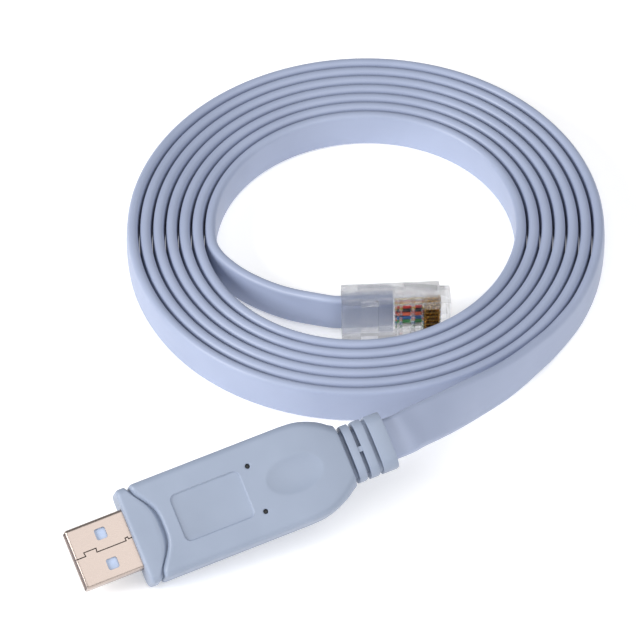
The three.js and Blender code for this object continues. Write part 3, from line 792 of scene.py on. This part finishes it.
def gold_plate():
    """Thin gold over phosphor bronze, stamped: polished, with a little wear in its gloss."""
    material, tree = blank("gold_plated_bronze")
    place = add(tree, "ShaderNodeTexCoord").outputs["Object"]
    wear = noise(tree, place, per_mm(0.5), 3)
    tint = ramp(tree, wear, (0.35, "#C8923E"), (0.65, "#DDAE58"))
    surface(tree, {"Base Color": tint, "Roughness": gloss(tree, wear, 0.18, 0.32)}, {"Metallic": 1})
    return material


def bare_copper():
    """Stranded copper cut square: bright and pink, in strands of 0.12 mm."""
    material, tree = blank("bare_copper")
    place = add(tree, "ShaderNodeTexCoord").outputs["Object"]
    strands = add(tree, "ShaderNodeTexVoronoi", {"Vector": place}, {"Scale": per_mm(0.12)})
    surface(tree, {"Normal": bumped(tree, strands.outputs["Distance"], 0.4, 0.03)},
            {"Base Color": colour("#D9895E"), "Metallic": 1, "Roughness": 0.3})
    return material


def clear_polycarbonate():
    """Polycarbonate moulded in a polished tool: clear, strongly refracting, with faint flow waves."""
    material, tree = blank("clear_polycarbonate")
    place = add(tree, "ShaderNodeTexCoord").outputs["Object"]
    flow = noise(tree, place, per_mm(2.5), 1)
    # the alpha keeps the jacket and the cores behind many clear walls as light as they are in life
    surface(tree, {"Normal": bumped(tree, flow, 0.1, 0.1)},
            {"Base Color": colour("#F1F2F6"), "Roughness": 0.05, "IOR": 1.5,
             "Transmission Weight": 1, "Alpha": 0.5})
    return material


def moulded_pbt(name, low, high, roughness):
    """Glass-filled polyester: hard, with a close grain of 0.25 mm, and nearly matt."""
    material, tree = blank(name)
    place = add(tree, "ShaderNodeTexCoord").outputs["Object"]
    grain = noise(tree, place, per_mm(0.25), 3)
    surface(tree, {"Base Color": ramp(tree, grain, (0.3, low), (0.7, high)),
                   "Normal": bumped(tree, grain, 0.1, 0.02)},
            {"Roughness": roughness, "IOR": 1.57})
    return material


def core_insulation(name, low, high):
    """Thin PVC insulation pulled over the strands: glossy, its colour a little uneven."""
    material, tree = blank("core_insulation_" + name)
    place = add(tree, "ShaderNodeTexCoord").outputs["Object"]
    uneven = noise(tree, place, per_mm(0.9), 2)
    surface(tree, {"Base Color": ramp(tree, uneven, (0.3, low), (0.7, high)),
                   "Normal": bumped(tree, uneven, 0.15, 0.05)},
            {"Roughness": 0.32, "IOR": 1.53})
    return material


def dress(piece, material, slot, *nodes):
    """Gives a piece its material unless it has its own, hangs it on the root body and hides the CAD nodes it
    stands for; its slot is not used.
    """
    if material:
        piece.data.materials.clear()
        piece.data.materials.append(material)
    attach(piece, "root")
    if nodes:
        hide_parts(*nodes)
    return piece


# The parts
line = smooth_line(route, 1.4)
cable = flat_cable("cable_jacket", line)
take(cable)
bpy.ops.object.shade_smooth_by_angle(angle=math.radians(50))
dress(cable, extruded_pvc(), "cable_jacket", "cable_lead_usb", "cable_coil", "cable_lead_rj45")

dress(make_housing(), moulded_pvc(), "housing_pvc", "usb_housing")
smoked = moulded_pbt("smoked_light_guide", "#040508", "#07080C", 0.5)
for side in (-1, 1):
    dress(make_lens(side), smoked, "housing_pvc")
dress(make_shell(), None, "shell_metal", "usb_shell")
insulator = moulded_pbt("moulded_pbt_insulator", "#A9B9D6", "#B3C2DD", 0.45)
dress(make_tongue(), insulator, "insulator", "usb_tongue")
gold = gold_plate()
for i, strip in enumerate(make_usb_contacts()):
    dress(strip, gold, "gold_contact", f"usb_contact_{i + 1}")

dress(make_rj45_body(), clear_polycarbonate(), "clear_plastic", "rj45_body")
copper = bare_copper()
cores = (("grey", "#B9B6B3", "#C3C1BE"), ("green", "#2F7C3F", "#3C8F4C"), ("blue", "#2A5B94", "#3468A6"),
         ("salmon", "#CF5338", "#DB6549"), ("black", "#0F0E12", "#19181D"), ("red", "#B3251F", "#C23429"),
         ("yellow", "#D9B32F", "#E4C146"), ("white", "#D8D7D6", "#E2E1E0"))
# the cut copper is what stands ahead of the cores' ends
cut_end = RJ_FRAME @ Vector((WIRE_TO + 0.06, 0, 0))
ahead = (RJ_FRAME.to_3x3() @ Vector((1, 0, 0))).normalized()
for i, (name, low, high) in enumerate(cores):
    core = dress(make_core(i), core_insulation(name, low, high), "wire_" + name, f"rj45_wire_{i + 1}")
    core.data.materials.append(copper)
    for face in core.data.polygons:
        if (face.center - cut_end).dot(ahead) > -0.00001:
            face.material_index = 1
    dress(make_blade(i), gold, "gold_contact", f"rj45_contact_{i + 1}")

# Floor and light
bpy.ops.object.select_all(action="DESELECT")
bpy.ops.mesh.primitive_plane_add(size=6, location=(0, 0, -0.0001))
floor = bpy.context.object
floor.name = "floor"
paper, tree = blank("matt_white_paper")
matt = add(tree, "ShaderNodeBsdfPrincipled", (), {
    "Base Color": colour("#F7F7F8"), "Roughness": 0.9, "Specular IOR Level": 0,
    "Emission Color": colour("#FFFFFF"), "Emission Strength": 0.3})
add(tree, "ShaderNodeOutputMaterial", {"Surface": matt.outputs["BSDF"]})
floor.data.materials.append(paper)

world = bpy.data.worlds.new("studio")
bpy.context.scene.world = world
world.use_nodes = True
sky = world.node_tree.nodes["Background"].inputs
sky["Color"].default_value = colour("#FFFFFF")
sky["Strength"].default_value = 0.28
for name, place, size, power in (("softbox_left", (-1.1, -0.45, 0.65), 0.7, 16.5),
                                 ("softbox_above", (0.55, -0.6, 1.15), 2, 18.7)):
    light = bpy.data.lights.new(name, "AREA")
    light.energy, light.size, light.shape = power, size, "SQUARE"
    lamp = bpy.data.objects.new(name, light)
    bpy.context.scene.collection.objects.link(lamp)
    lamp.location = place
    lamp.rotation_mode = "QUATERNION"
    lamp.rotation_quaternion = (Vector((0.01, 0.03, 0)) - Vector(place)).to_track_quat("-Z", "Y")
